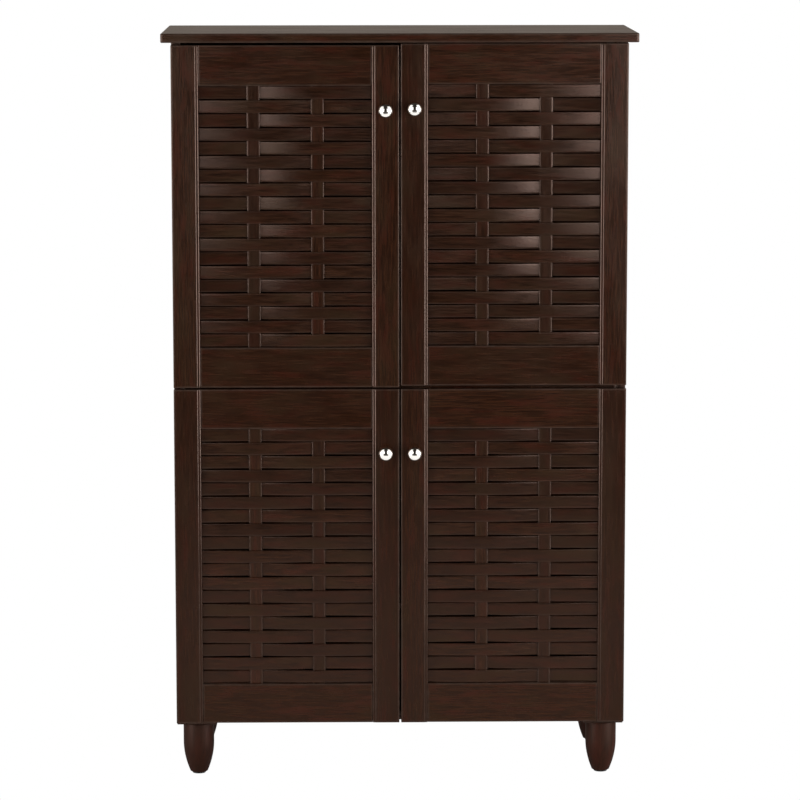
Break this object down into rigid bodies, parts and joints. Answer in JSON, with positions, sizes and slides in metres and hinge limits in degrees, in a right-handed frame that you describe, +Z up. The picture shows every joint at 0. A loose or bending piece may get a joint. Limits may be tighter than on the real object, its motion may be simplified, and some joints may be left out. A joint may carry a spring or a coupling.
{
  "type": "shoe cabinet",
  "caption": "Tall narrow shoe cabinet with stacked pairs of framed basket-weave doors on concealed hinges, shelf tiers inside, and turned tapering feet.",
  "frame": {"origin": "on the floor, at the middle of the footprint that the whole cabinet covers, knobs included", "axes": "+Z up, +Y towards the back panel, +X to the right when facing the doors, which face -Y"},
  "size_m": [0.773, 0.325, 1.235],
  "materials": {
    "dark_wood": "satin dark-stained fine-grained wood",
    "woven_slats": "satin dark-stained thin veneer slats",
    "turned_wood": "satin reddish dark-stained turned wood",
    "back_board": "matt dark-printed hardboard",
    "polished_nickel": "mirror polished",
    "plated_steel": "bright zinc plated"
  },
  "bodies": {
    "case": {"top_panel": "dark_wood", "side_panel_left": "dark_wood", "side_panel_right": "dark_wood", "bottom_panel": "dark_wood", "fixed_shelf": "dark_wood", "back_panel_lower": "back_board", "back_panel_upper": "back_board", "foot_front_left": "turned_wood", "foot_front_right": "turned_wood", "foot_rear_left": "turned_wood", "foot_rear_right": "turned_wood", "shelf_lower_1": "dark_wood", "shelf_lower_2": "dark_wood", "shelf_upper_1": "dark_wood", "shelf_upper_2": "dark_wood", "hinge_arm_upper_left_bottom": "plated_steel", "hinge_arm_upper_left_top": "plated_steel", "hinge_arm_upper_right_bottom": "plated_steel", "hinge_arm_upper_right_top": "plated_steel", "hinge_arm_lower_left_bottom": "plated_steel", "hinge_arm_lower_left_top": "plated_steel", "hinge_arm_lower_right_bottom": "plated_steel", "hinge_arm_lower_right_top": "plated_steel"},
    "hinge_lever_upper_left": {"hinge_lever_upper_left": "plated_steel"},
    "door_upper_left": {"hinge_stile_upper_left": "dark_wood", "meeting_stile_upper_left": "dark_wood", "top_rail_upper_left": "dark_wood", "bottom_rail_upper_left": "dark_wood", "woven_panel_upper_left": "woven_slats", "knob_upper_left": "polished_nickel", "hinge_cup_upper_left_bottom": "plated_steel", "hinge_cup_upper_left_top": "plated_steel"},
    "hinge_lever_upper_right": {"hinge_lever_upper_right": "plated_steel"},
    "door_upper_right": {"hinge_stile_upper_right": "dark_wood", "meeting_stile_upper_right": "dark_wood", "top_rail_upper_right": "dark_wood", "bottom_rail_upper_right": "dark_wood", "woven_panel_upper_right": "woven_slats", "knob_upper_right": "polished_nickel", "hinge_cup_upper_right_bottom": "plated_steel", "hinge_cup_upper_right_top": "plated_steel"},
    "hinge_lever_lower_left": {"hinge_lever_lower_left": "plated_steel"},
    "door_lower_left": {"hinge_stile_lower_left": "dark_wood", "meeting_stile_lower_left": "dark_wood", "top_rail_lower_left": "dark_wood", "bottom_rail_lower_left": "dark_wood", "woven_panel_lower_left": "woven_slats", "knob_lower_left": "polished_nickel", "hinge_cup_lower_left_bottom": "plated_steel", "hinge_cup_lower_left_top": "plated_steel"},
    "hinge_lever_lower_right": {"hinge_lever_lower_right": "plated_steel"},
    "door_lower_right": {"hinge_stile_lower_right": "dark_wood", "meeting_stile_lower_right": "dark_wood", "top_rail_lower_right": "dark_wood", "bottom_rail_lower_right": "dark_wood", "woven_panel_lower_right": "woven_slats", "knob_lower_right": "polished_nickel", "hinge_cup_lower_right_bottom": "plated_steel", "hinge_cup_lower_right_top": "plated_steel"}
  },
  "joints": [
    {"name": "lever_upper_left_swing", "type": "hinge", "parent": "case", "child": "hinge_lever_upper_left", "pos_m": [-0.3385, -0.123, 0.936], "axis": [0, 0, 1], "range_deg": [0, 49]},
    {"name": "door_upper_left_swing", "type": "hinge", "parent": "hinge_lever_upper_left", "child": "door_upper_left", "pos_m": [-0.36, -0.123, 0.936], "axis": [0, 0, -1], "range_deg": [0, 153.8]},
    {"name": "lever_upper_right_swing", "type": "hinge", "parent": "case", "child": "hinge_lever_upper_right", "pos_m": [0.3385, -0.123, 0.9385], "axis": [0, 0, -1], "range_deg": [0, 49]},
    {"name": "door_upper_right_swing", "type": "hinge", "parent": "hinge_lever_upper_right", "child": "door_upper_right", "pos_m": [0.36, -0.123, 0.9385], "axis": [0, 0, 1], "range_deg": [0, 153.8]},
    {"name": "lever_lower_left_swing", "type": "hinge", "parent": "case", "child": "hinge_lever_lower_left", "pos_m": [-0.3385, -0.123, 0.374], "axis": [0, 0, 1], "range_deg": [0, 49]},
    {"name": "door_lower_left_swing", "type": "hinge", "parent": "hinge_lever_lower_left", "child": "door_lower_left", "pos_m": [-0.36, -0.123, 0.374], "axis": [0, 0, -1], "range_deg": [0, 153.8]},
    {"name": "lever_lower_right_swing", "type": "hinge", "parent": "case", "child": "hinge_lever_lower_right", "pos_m": [0.3385, -0.123, 0.374], "axis": [0, 0, -1], "range_deg": [0, 49]},
    {"name": "door_lower_right_swing", "type": "hinge", "parent": "hinge_lever_lower_right", "child": "door_lower_right", "pos_m": [0.36, -0.123, 0.374], "axis": [0, 0, 1], "range_deg": [0, 153.8]}
  ],
  "couplings": [
    {"joint": "lever_upper_left_swing", "follows": "door_upper_left_swing", "ratio": 0.3174},
    {"joint": "lever_upper_right_swing", "follows": "door_upper_right_swing", "ratio": 0.3174},
    {"joint": "lever_lower_left_swing", "follows": "door_lower_left_swing", "ratio": 0.3174},
    {"joint": "lever_lower_right_swing", "follows": "door_lower_right_swing", "ratio": 0.3174}
  ]
}
